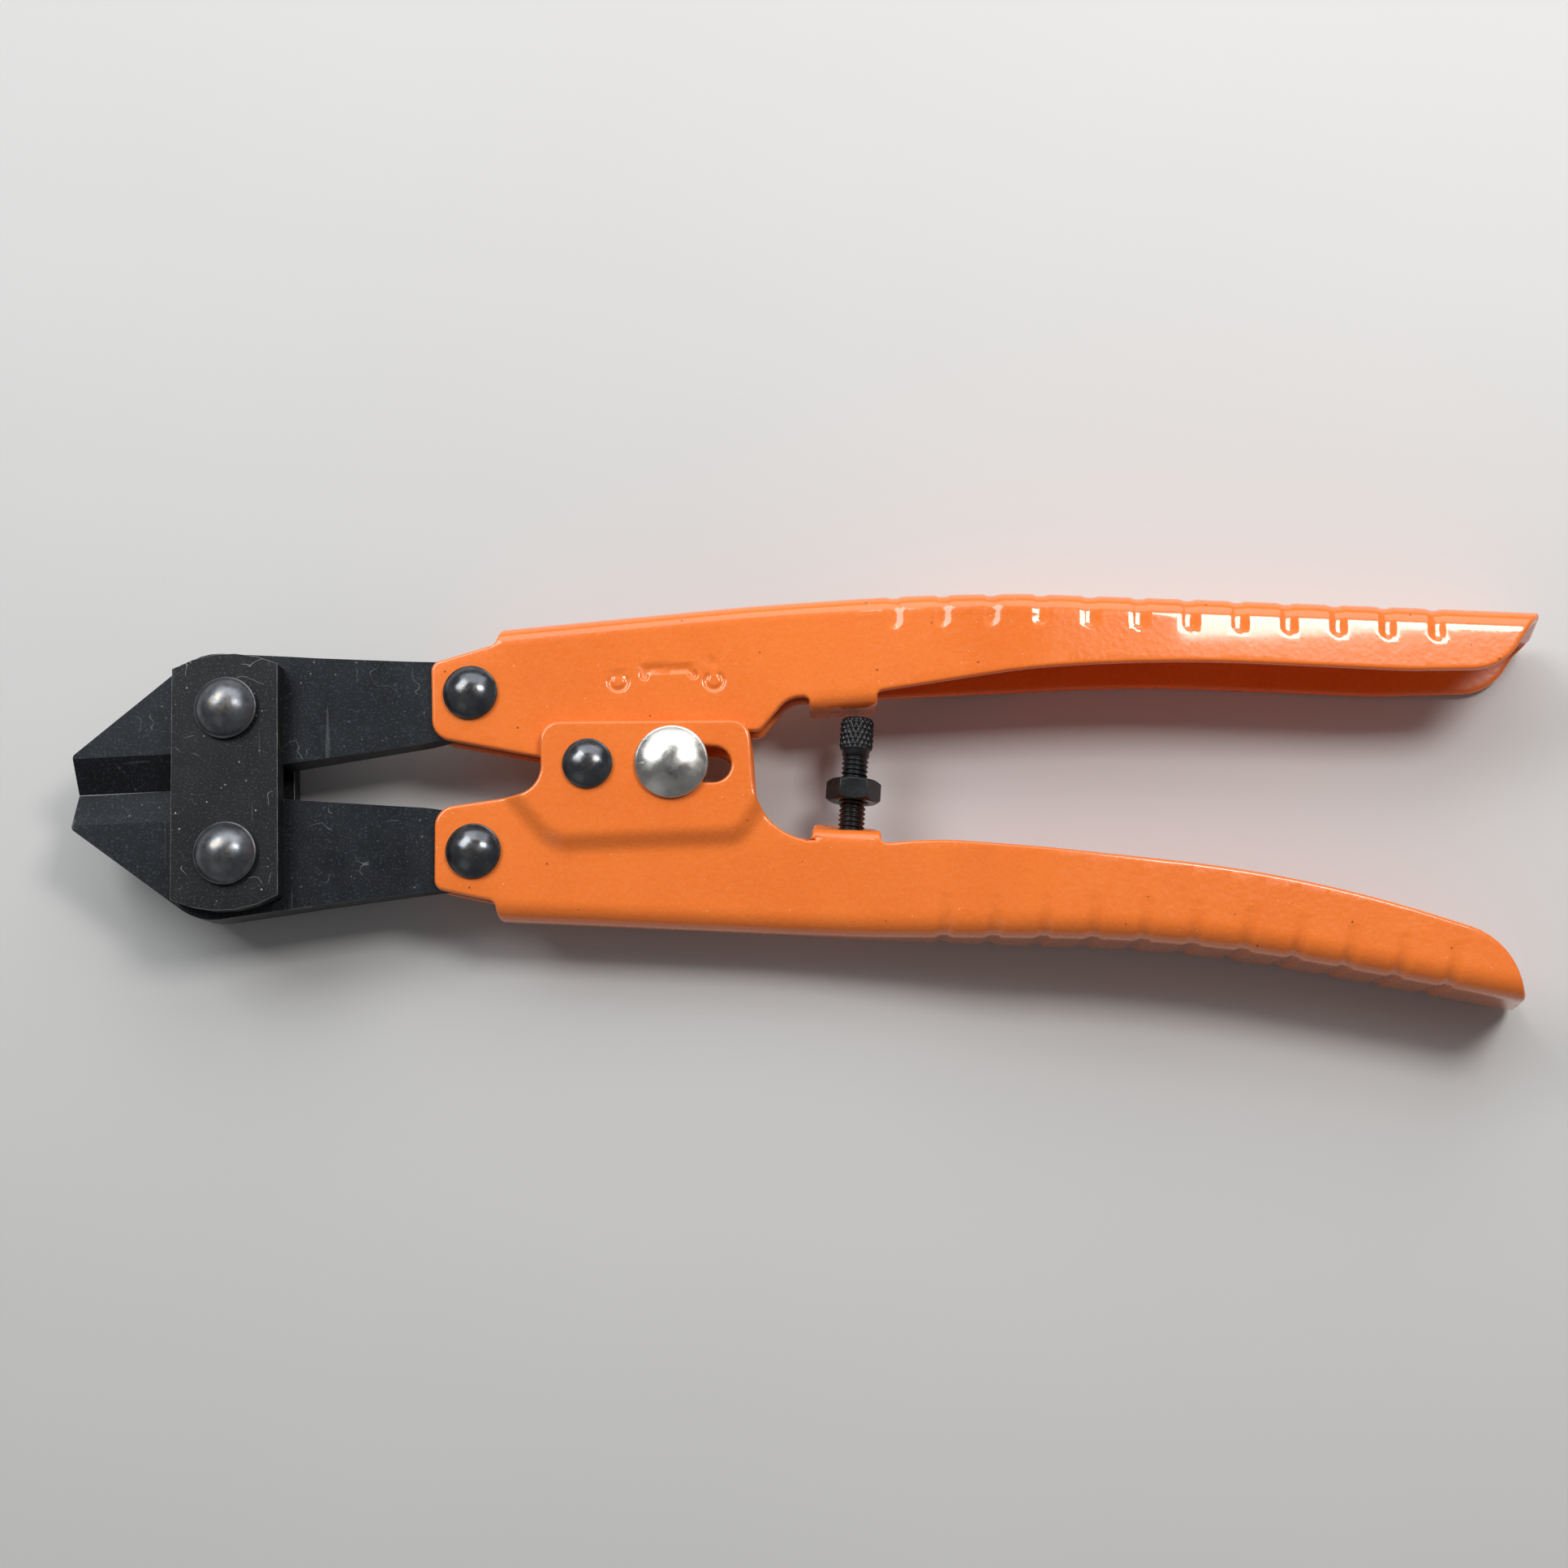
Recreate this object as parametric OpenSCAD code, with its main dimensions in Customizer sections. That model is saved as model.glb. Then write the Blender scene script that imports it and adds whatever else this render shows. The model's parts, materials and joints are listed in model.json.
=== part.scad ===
// Small compound bolt cutter: two jaws held by two link plates, worked by two pressed channel handles.
// The design frame has its origin on the centre pivot, +X towards the grips and +Y towards the upper
// handle. place() moves it so that the tool lies on Z = 0 with the origin under the middle of its box.

/* [Pivots] */
// Distance from the centre pivot to the jaw pivots, along the tool
jaw_pivot_x = 52.4; // [50:0.1:56]
// Distance of each jaw pivot from the centre line
jaw_pivot_y = 10.7; // [10:0.1:11.5]
// Distance from the centre pivot to the tail pivots, along the tool
tail_pivot_x = 17.1; // [16.5:0.1:18]
// Distance of each tail pivot from the centre line
tail_pivot_y = 11.75; // [11.2:0.05:12]

/* [Jaws] */
// Distance from the centre pivot to the jaw tips
jaw_reach = 76.1; // [72:0.1:80]
// Thickness of the jaw heads
jaw_t = 5.9; // [5:0.1:7]
// Thickness of the jaw tails, between the handle cheeks
tail_t = 4.0; // [3:0.1:4]
// Gap left between the two cutting edges
edge_gap = 0.1; // [0.06:0.02:0.2]
// Height of the ground bevel above the cutting edge
bevel_h = 4.95; // [4:0.05:6]
// Radius of the rounded tail end
tail_r = 4.9; // [4.5:0.1:5]

/* [Link plates] */
// Thickness of each link plate
plate_t = 3.2; // [2.5:0.1:4]
// Width of the link plates, along the tool
plate_w = 15.5; // [14:0.1:16]
// Length of the link plates, across the tool
plate_l = 37.8; // [36:0.1:39]
// Radius of the arched plate ends
plate_end_r = 16.8; // [14:0.1:20]

/* [Handles] */
// Sheet thickness
sheet = 1.4; // [1:0.1:1.4]
// Outside thickness of the handle noses
nose_t = 6.9; // [6.9:0.1:7.4]
// Outside thickness of the grips
grip_t = 19; // [18:0.5:20]
// Width of the stop tabs, along the tool
tab_w = 10; // [8:0.5:11]
// Slant of the grip ends, in degrees, which leaves the rear cheeks longer than the front ones
end_slant = 10; // [0:1:12]

/* [Rivets] */
// Shank radius of the jaw rivets
jaw_rivet_r = 3; // [2.5:0.1:3.2]
// Head radius of the jaw rivets
jaw_head_r = 4.6; // [4.2:0.1:5]
// Shank radius of the tail rivets and the centre rivet
rivet_r = 2.5; // [2:0.1:2.6]
// Head radius of the tail rivets
tail_head_r = 4; // [3.5:0.1:4.2]
// Height of a tail rivet head
tail_head_h = 2.3; // [1.5:0.1:2.6]
// Head radius of the centre rivet
centre_head_r = 3.65; // [3.2:0.05:4]
// Height of a centre rivet head
centre_head_h = 2; // [1.5:0.1:2.6]

/* [Lock] */
// Radius of the lock knob
knob_r = 5.35; // [4.5:0.05:5.6]
// Height of the lock knob
knob_h = 2.3; // [1.6:0.1:3]
// Radius of the lock pin
pin_r = 2.6; // [2:0.1:2.8]
// Radius of the cap that holds the lock pin on the rear face
cap_r = 4.4; // [3.5:0.1:5]
// Height of that cap
cap_h = 1.7; // [1.4:0.1:2.4]
// Travel of the lock pin along its slots
lock_travel = 6; // [4:0.5:6]
// Lean of the lock slots towards the lower handle, in degrees
lock_lean = 5.5; // [4:0.5:7]

/* [Stop screw] */
// Thread radius
thread_r = 2; // [1.5:0.5:2]
// Thread pitch
pitch = 0.7; // [0.5:0.1:0.8]
// Radius of the knurled head
head_r = 2.5; // [2.2:0.1:3]
// Length of the knurled head
head_l = 4.9; // [4:0.1:6]
// Width of the hexagon nut across its corners
nut_w = 8.08; // [7:0.01:9]
// Height of the hexagon nut
nut_h = 3.2; // [2.5:0.1:4]
// Lean of the stop screw towards the grips, in degrees
screw_lean = 6.5; // [4:0.5:8]
// Gap between the screw head and the upper stop tab, with the jaws closed
stop_gap = 1.1; // [0.2:0.1:2]

/* [Hidden] */
$fn = 64;

run_fit = 0.05;    // radial clearance of a running joint
loop_fit = 0.16;   // radial clearance of the upper jaw on its rivet, which closes the linkage
face_gap = 0.05;   // gap between faces that slide on each other
over = 1;          // how far a cutting solid runs past what it cuts
lie_z = grip_t / 2;
plate_z = jaw_t / 2 + face_gap;
plate_top = plate_z + plate_t;
jaw_head_h = lie_z - plate_top;
cheek_in = nose_t / 2 - sheet;
ear_in = nose_t / 2 + face_gap;
ear_out = ear_in + sheet;
bevel_x = -57;     // end of the ground bevel, under the link plates
edge_land = 0.1;   // half thickness left at the cutting edge
thin_from = -44;   // the jaws thin from jaw_t here to tail_t at thin_to
thin_to = -27;
boss_r = 6.8;      // round end of the upper handle's cheeks, around the centre pivot

// Outline corners are [x, y, corner radius]. arc_steps is the number of facets in a corner.
function unit(v) = v / norm(v);
function arc_steps(turn, r) = max(2, ceil(turn / (r > 20 ? 1.5 : 12)));
function corner(a, b, c) =
    let (p = [b[0], b[1]], u = unit([a[0], a[1]] - p), w = unit([c[0], c[1]] - p),
        half = acos(u * w) / 2, turn = 180 - 2 * half)
    b[2] == 0 || turn < 0.01 ? [p] :
    let (m = p + unit(u + w) * b[2] / sin(half), from = p + u * b[2] / tan(half),
        side = sign(u[0] * w[1] - u[1] * w[0]), start = atan2(from[1] - m[1], from[0] - m[0]),
        n = arc_steps(turn, b[2]))
    [for (i = [0 : n]) m + b[2] * [cos(start - side * turn * i / n), sin(start - side * turn * i / n)]];
function outline(v) =
    let (n = len(v))
    [for (i = [0 : n - 1]) each corner(v[(i + n - 1) % n], v[i], v[(i + 1) % n])];

// The same corners moved sideways by d, for an open run of corners
function edge_normal(a, b) = let (u = unit([b[0] - a[0], b[1] - a[1]])) [u[1], -u[0]];
function shifted(v, d) = [for (i = [0 : len(v) - 1])
    let (n1 = edge_normal(v[max(i - 1, 0)], v[max(i, 1)]),
        n2 = edge_normal(v[min(i, len(v) - 2)], v[min(i + 1, len(v) - 1)]),
        m = (n1 + n2) / (1 + n1 * n2))
    [v[i][0] + m[0] * d, v[i][1] + m[1] * d, v[i][2]]];

// Outer edge of each channel, from the step behind its nose to past the end of its grip
upper_back = [[-12.3, 21.7, 0], [37.9, 23.94, 260], [145, 14.1, 0]];
lower_back = [[-13.7, -21.9, 0], [40, -27, 300], [86, -30.4, 200], [136, -42.36, 0]];

upper_cheek = outline(concat([[-22.9, 5.45, 3.2], [-22.9, 16.6, 1.6], [-13.4, 19, 0.8]], upper_back,
    [[145, 5.8, 0], [118, 6.6, 60], [77.2, 10.68, 255], [44, 8.5, 30], [29.6, 8.8, 4],
     [25.2, 3.9, 1.5], [8, 3.9, 0], [0, 0, 0], [-6.6, 1.55, 0.6]]));
lower_cheek = outline(concat([[-22.7, -5.1, 3], [-22.95, -16.9, 1.6], [-14.3, -19.2, 0.8]], lower_back,
    [[136, -33.4, 0], [101, -21.9, 187], [50, -13.75, 150], [24.2, -12.3, 9], [24.1, -4, 0],
     [-6, -4, 0], [-10.9, -3.9, 1]]));

// What the slanted cut at each grip end leaves: the last of these corners is past the channel's mouth
upper_end_x = 140.4;
lower_end_x = 131.4;
upper_end = outline([[-90, 60, 0], [upper_end_x, 60, 0], [upper_end_x, 14.87, 0.6], [133.1, 6.15, 8],
    [110, 5, 0], [-90, -60, 0]]);
lower_end = outline([[-90, -80, 0], [lower_end_x, -80, 0], [lower_end_x, -41, 0], [130, -32.2, 10],
    [100, -18, 0], [-90, 60, 0]]);

// The lower handle's ears are pressed outwards by one sheet, over the cheeks of the upper handle
ear = outline([[-6.9, 6.7, 2.8], [23.7, 5.3, 2.8], [24.1, -7.5, 3], [25.8, -9.6, 0], [21.8, -12.9, 4],
    [-5.5, -12.3, 4], [-11.9, -4.1, 1.2], [-6.9, -3.6, 4.2]]);
ear_pocket = outline([[-5.4, 10, 0], [40, 10, 0], [40, -6.8, 0], [24.4, -6.8, 1], [20.9, -11.5, 3],
    [-4.9, -10.9, 3], [-10.4, -3.4, 0]]);

// Thickness of the channels along the tool, for a half thickness of t at the nose
grip_rise = (grip_t - nose_t) / 2;
taper_x = 95;      // the grips thin again from here to far_x
far_x = 150;
taper = 0.8;       // how much each face falls back by far_x
function channel_width(t) =
    let (face = [[-40, t, 0], [34.3, t, 95], [64.5, t + grip_rise, 35], [taper_x, t + grip_rise, 0],
            [far_x, t + grip_rise - taper, 0]],
        n = len(face) - 1)
    outline(concat(face, [for (i = [n : -1 : 0]) [face[i][0], -face[i][1], face[i][2]]]));

// Box of the whole tool: the slanted ends reach furthest at the rear face
slope = tan(end_slant);
function end_reach(x) =
    let (fall = taper / (far_x - taper_x))
    x + slope * (grip_t / 2 - fall * (x - taper_x)) / (1 + slope * fall);
function on_line(a, b, x) = a[1] + (b[1] - a[1]) * (x - a[0]) / (b[0] - a[0]);
box_x = [-jaw_reach, end_reach(upper_end_x)];
box_y = [on_line(lower_back[2], lower_back[3], end_reach(lower_end_x)), max([for (p = upper_cheek) p[1]])];

upper_tab = [37.5, 6.7];         // middle of the face of the upper stop tab that the screw head meets
screw_foot = [37.56, -12];       // where the screw passes the middle of the lower stop tab
tab_offset = 0.6;                // the lower tab's middle lies this far from the screw, towards the nose
tab_over = 0.75;                 // how far the tabs reach past the noses' faces, to the wider cheeks there
screw_top = (upper_tab[1] - stop_gap - screw_foot[1]) / cos(screw_lean);
screw_end = -5;                  // lower end of the thread, inside the channel
nut_from = 5.15;                 // lower face of the nut above the middle of the lower stop tab
lock_at = [12.2, -0.4];          // lock pin in its locked place
knob_flank = 1;                  // height of the straight side under the knob's crown
cap_flank = 0.8;                 // height of the straight side under the rear cap's crown

module place() translate([-(box_x[0] + box_x[1]) / 2, -(box_y[0] + box_y[1]) / 2, lie_z]) children();
module slab(points, z0, z1) translate([0, 0, z0]) linear_extrude(z1 - z0) polygon(points);
module both_faces() { children(); mirror([0, 0, 1]) children(); }
module at_jaw(side) translate([-jaw_pivot_x, side * jaw_pivot_y, 0]) children();
module at_tail(side) translate([-tail_pivot_x, side * tail_pivot_y, 0]) children();
module through(r) cylinder(r = r, h = 4 * lie_z, center = true);

// Round head with its flat side down
module dome(r, h) {
    ball_r = (r * r + h * h) / (2 * h);
    intersection() {
        translate([0, 0, h - ball_r]) sphere(ball_r);
        cylinder(r = r, h = h + over);
    }
}

module rivet(shank_r, grip, round_r, round_h) {
    cylinder(r = shank_r, h = 2 * grip, center = true);
    both_faces() translate([0, 0, grip]) dome(round_r, round_h);
}

// Short straight side with a crown on it
module button(r, flank, h) {
    cylinder(r = r, h = flank);
    translate([0, 0, flank]) dome(r, h - flank);
}

// Leans its children about the end of a grip
module slanted(x) translate([x, 0, 0]) rotate([0, -end_slant, 0]) translate([-x, 0, 0]) children();

// Pressed channel: cheeks of one outline, joined by a web along the back edge, and cut off at the grip end
module channel(cheek, end, end_x, back, inward, mouth) {
    width = 2 * lie_z + over;
    difference() {
        intersection() {
            slab(cheek, -width, width);
            slanted(end_x) slab(end, -4 * width, 4 * width);
            rotate([90, 0, 0]) linear_extrude(6 * width, center = true) polygon(channel_width(nose_t / 2));
        }
        intersection() {
            slab(outline(concat(shifted(back, inward * sheet), mouth)), -width, width);
            rotate([90, 0, 0]) linear_extrude(6 * width, center = true) polygon(channel_width(cheek_in));
        }
    }
}

// Tab folded across the channel mouth, and the lugs that join it to both cheeks. Its middle is the
// local origin and the channel lies towards +Y.
module stop_tab() {
    tab_half = nose_t / 2 + tab_over;
    translate([-tab_w / 2, -sheet / 2, -tab_half]) cube([tab_w, sheet, 2 * tab_half]);
    both_faces() translate([-tab_w / 2, -sheet / 2, tab_half - sheet]) cube([tab_w, 3 * sheet, sheet]);
}

// Outline of the upper jaw, seen from the front face
jaw_outline = outline([[-jaw_reach, edge_gap / 2, 0], [-jaw_reach, 5.5, 0.8], [-57.3, 20.1, 8],
    [-40, 18.4, 60], [-tail_pivot_x, tail_pivot_y + tail_r - 0.05, 0], [-tail_pivot_x, tail_pivot_y, 0],
    [-tail_pivot_x + 1, tail_pivot_y - tail_r + 0.2, 0], [-22, 5, 30], [-46, 2.5, 3],
    [-52.6, edge_gap / 2, 2]]);

module jaw(side, hole_r) {
    bevel_top = edge_gap / 2 + bevel_h;
    bevel = [[edge_gap / 2, edge_land], [bevel_top, jaw_t / 2], [bevel_top, jaw_t], [-over, jaw_t],
        [-over, edge_land]];
    thinning = [[thin_from, jaw_t / 2], [thin_to, tail_t / 2], [0, tail_t / 2], [0, jaw_t],
        [thin_from, jaw_t]];
    mirror([0, side < 0 ? 1 : 0, 0]) difference() {
        union() {
            slab(jaw_outline, -jaw_t / 2, jaw_t / 2);
            at_tail(1) cylinder(r = tail_r, h = tail_t, center = true);
        }
        both_faces() translate([-jaw_reach - over, 0, 0]) rotate([90, 0, 90])
            linear_extrude(bevel_x + jaw_reach + over) polygon(bevel);
        both_faces() rotate([90, 0, 0]) linear_extrude(4 * plate_l, center = true) polygon(thinning);
        at_jaw(1) through(hole_r);
        at_tail(1) through(rivet_r + run_fit);
    }
}

// Arched plate outline: the arch starts where the straight sides end
plate_shift = 0.25;  // the plates' middle lies this far from the rivets, towards the jaw tips
arch = asin(plate_w / 2 / plate_end_r);
plate_side_y = plate_l / 2 - plate_end_r * (1 - cos(arch));
plate_apex_y = plate_l / 2 + plate_end_r * (1 / cos(arch) - 1);
plate_outline = outline([[-plate_w / 2, -plate_side_y, 0], [-plate_w / 2, plate_side_y, 0],
    [0, plate_apex_y, plate_end_r - 0.05], [plate_w / 2, plate_side_y, 0], [plate_w / 2, -plate_side_y, 0],
    [0, -plate_apex_y, plate_end_r - 0.05]]);

module link_plate() difference() {
    translate([-jaw_pivot_x - plate_shift, 0, plate_z]) slab(plate_outline, 0, plate_t);
    for (side = [-1, 1]) at_jaw(side) through(jaw_rivet_r);
}

upper_mouth = [[160, 12, 0], [160, -60, 0], [-60, -60, 0], [-60, 60, 0], [-12.3, 60, 0]];
lower_mouth = [[160, -50, 0], [160, 60, 0], [-60, 60, 0], [-60, -60, 0], [-13.7, -60, 0]];

module handle_upper() color("orangered") place() difference() {
    union() {
        channel(upper_cheek, upper_end, upper_end_x, upper_back, 1, upper_mouth);
        both_faces() translate([0, 0, cheek_in]) cylinder(r = boss_r, h = sheet);
        translate([upper_tab[0], upper_tab[1] + sheet / 2, 0]) stop_tab();
    }
    through(rivet_r + run_fit);
    at_tail(1) through(rivet_r);
}

module handle_lower() color("orangered") place() difference() {
    union() {
        difference() {
            channel(lower_cheek, lower_end, lower_end_x, lower_back, -1, lower_mouth);
            slab(ear_pocket, -lie_z, lie_z);
        }
        both_faces() slab(ear, nose_t / 2, ear_out);
        translate(screw_foot) rotate(180 - screw_lean) translate([tab_offset, 0, 0]) stop_tab();
    }
    through(rivet_r);
    at_tail(-1) through(rivet_r);
    lock_slot(pin_r + run_fit);
    along_screw() cylinder(r = thread_r + run_fit, h = 4 * over, center = true);
}

module jaw_upper() color("dimgray") place() jaw(1, jaw_rivet_r + loop_fit);
module jaw_lower() color("dimgray") place() jaw(-1, jaw_rivet_r + run_fit);
module link_plate_front() color("gray") place() link_plate();
module link_plate_rear() color("gray") place() mirror([0, 0, 1]) link_plate();

module jaw_rivet(side) at_jaw(side) rivet(jaw_rivet_r, plate_top, jaw_head_r, jaw_head_h);
module tail_rivet(side) at_tail(side) rivet(rivet_r, nose_t / 2, tail_head_r, tail_head_h);
module jaw_rivet_upper() color("black") place() jaw_rivet(1);
module jaw_rivet_lower() color("black") place() jaw_rivet(-1);
module tail_rivet_upper() color("black") place() tail_rivet(1);
module tail_rivet_lower() color("black") place() tail_rivet(-1);
module centre_rivet() color("black") place() rivet(rivet_r, ear_out, centre_head_r, centre_head_h);

// Lock: a pin through slots in both ears, with a knob on the front face and a cap on the rear face
lock_z = ear_out + face_gap;
module along_lock() translate(lock_at) rotate(-lock_lean) children();
module lock_slot(r) along_lock() {
    through(r);
    translate([lock_travel, 0, 0]) through(r);
    translate([0, -r, -2 * lie_z]) cube([lock_travel, 2 * r, 4 * lie_z]);
}
module lock_knob() color("silver") place() along_lock()
    translate([0, 0, lock_z]) button(knob_r, knob_flank, knob_h);
module lock_pin() color("silver") place() along_lock() cylinder(r = pin_r, h = 2 * lock_z, center = true);
module lock_back_cap() color("silver") place() along_lock()
    mirror([0, 0, 1]) translate([0, 0, lock_z]) button(cap_r, cap_flank, cap_h);

// Stop screw frame: Z along the screw from the middle of the lower tab
module along_screw() translate(screw_foot) rotate(-screw_lean) rotate([-90, 0, 0]) children();
module stop_screw() color("darkslategray") place() along_screw() {
    neck = screw_top - head_l;
    collar = 0.9;
    root_r = thread_r - 0.3;
    edge = 0.5;
    turns = floor((neck - collar - screw_end) / pitch);
    rotate_extrude() polygon(concat([[0, screw_end], [root_r, screw_end]],
        [for (i = [0 : turns - 1]) each
            [[root_r, screw_end + i * pitch], [thread_r, screw_end + (i + 0.5) * pitch]]],
        [[root_r, neck - collar], [thread_r, neck - collar], [thread_r, neck - edge / 2],
         [head_r, neck + edge / 2], [head_r, screw_top - edge], [head_r - edge / 2, screw_top - edge / 4],
         [head_r - edge, screw_top], [0, screw_top]]));
}

// Hexagon nut, chamfered at 30 degrees, with one flat to the front
module stop_nut() color("darkslategray") place() along_screw() translate([0, 0, nut_from]) difference() {
    flat_r = nut_w / 2 * cos(30);
    intersection() {
        cylinder(r = nut_w / 2, h = nut_h, $fn = 6);
        translate([0, 0, nut_h / 2]) both_faces()
            cylinder(r1 = flat_r + nut_h / 2 / tan(30), r2 = flat_r, h = nut_h / 2);
    }
    translate([0, 0, -over]) cylinder(r = thread_r + run_fit, h = nut_h + 2 * over);
}

handle_upper();
handle_lower();
jaw_upper();
jaw_lower();
link_plate_front();
link_plate_rear();
jaw_rivet_upper();
jaw_rivet_lower();
tail_rivet_upper();
tail_rivet_lower();
centre_rivet();
lock_knob();
lock_pin();
lock_back_cap();
stop_screw();
stop_nut();
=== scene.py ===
"""Looks of the small bolt cutter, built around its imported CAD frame.

Lengths are in millimetres in the tool frame of the design: origin on the centre pivot at half thickness,
+X towards the grips, +Y towards the upper handle, +Z out of the face with the lock knob. to_row() turns
them into the row frame, in metres.
"""
import json
import math

import bmesh
import bpy
import numpy as np
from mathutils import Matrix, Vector, geometry


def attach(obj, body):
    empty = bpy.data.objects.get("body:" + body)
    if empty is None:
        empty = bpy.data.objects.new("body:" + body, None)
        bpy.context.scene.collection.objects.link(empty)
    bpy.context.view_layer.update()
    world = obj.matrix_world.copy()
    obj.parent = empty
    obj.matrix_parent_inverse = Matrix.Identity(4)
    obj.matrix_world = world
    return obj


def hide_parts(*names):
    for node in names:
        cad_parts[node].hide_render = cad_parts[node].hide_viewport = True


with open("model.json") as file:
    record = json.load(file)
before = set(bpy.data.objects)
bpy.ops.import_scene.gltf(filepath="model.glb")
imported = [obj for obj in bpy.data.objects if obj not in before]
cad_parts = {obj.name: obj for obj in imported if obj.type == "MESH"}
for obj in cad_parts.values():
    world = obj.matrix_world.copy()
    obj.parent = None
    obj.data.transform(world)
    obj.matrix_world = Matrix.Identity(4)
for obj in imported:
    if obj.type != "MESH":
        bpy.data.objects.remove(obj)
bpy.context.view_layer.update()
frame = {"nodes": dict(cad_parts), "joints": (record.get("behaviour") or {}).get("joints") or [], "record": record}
MM = 0.001
JOINTS = {j["name"]: j for j in frame["joints"]}
PIVOT = np.array(JOINTS["handle_pivot"]["pos_m"])


def to_row(points):
    """Tool frame in millimetres to the row frame in metres."""
    return np.asarray(points, float) * MM + PIVOT


def joint_at(name):
    """A joint's place in the tool frame."""
    return (np.array(JOINTS[name]["pos_m"]) - PIVOT) / MM


# ---------------------------------------------------------------- camera, floor, light
CAMERA_AT = (33.926, -55.558, 287.151)
CAMERA_TURN = (10.1876, 1.6229, -2.6876)
FOCAL_PX, FRAME_PX = 2450.0, 1932.0


def make_camera():
    """The camera, at the viewing angle and distance of the reference view."""
    data = bpy.data.cameras.new("camera")
    data.sensor_width = 36.0
    data.lens = 36.0 * FOCAL_PX / FRAME_PX
    data.clip_start = 0.01
    cam = bpy.data.objects.new("camera", data)
    bpy.context.scene.collection.objects.link(cam)
    cam.location = to_row(CAMERA_AT)
    cam.rotation_euler = [math.radians(a) for a in CAMERA_TURN]
    bpy.context.scene.camera = cam


def area_light(name, at, aim, size, power, colour):
    """A soft rectangular lamp at a place in the tool frame, turned towards aim."""
    data = bpy.data.lights.new(name, "AREA")
    data.shape = "RECTANGLE"
    data.size, data.size_y = size[0] * MM, size[1] * MM
    data.energy = power
    data.color = colour
    lamp = bpy.data.objects.new(name, data)
    bpy.context.scene.collection.objects.link(lamp)
    lamp.location = to_row(at)
    way = Vector(to_row(aim)) - Vector(lamp.location)
    lamp.rotation_euler = way.to_track_quat("-Z", "Y").to_euler()


def make_stage():
    """Pale floor, four soft lamps and a dim sky."""
    world = bpy.data.worlds.new("studio")
    bpy.context.scene.world = world
    world.use_nodes = True
    world.node_tree.nodes["Background"].inputs[0].default_value = (0.95, 0.97, 1.0, 1)
    world.node_tree.nodes["Background"].inputs[1].default_value = 0.16
    bpy.context.scene.view_settings.view_transform = "Standard"
    area_light("window_left", (-300, 300, 420), (0, 0, 0), (330, 250), 1.8, (0.93, 0.97, 1.0))
    area_light("window_right", (245, 170, 400), (245, 170, 0), (170, 122), 1.25, (1.0, 0.99, 0.98))
    area_light("fill_near", (-330, -360, 330), (20, 0, 0), (300, 260), 0.05, (1.0, 0.97, 0.94))
    area_light("sky_far", (60, 560, 380), (30, 0, 0), (900, 420), 2.4, (0.96, 0.98, 1.0))
    bpy.ops.mesh.primitive_plane_add(size=3.0, location=(0, 0, 0))
    floor = bpy.context.object
    floor.name = "floor"
    floor.data.materials.append(floor_paint())


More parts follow.
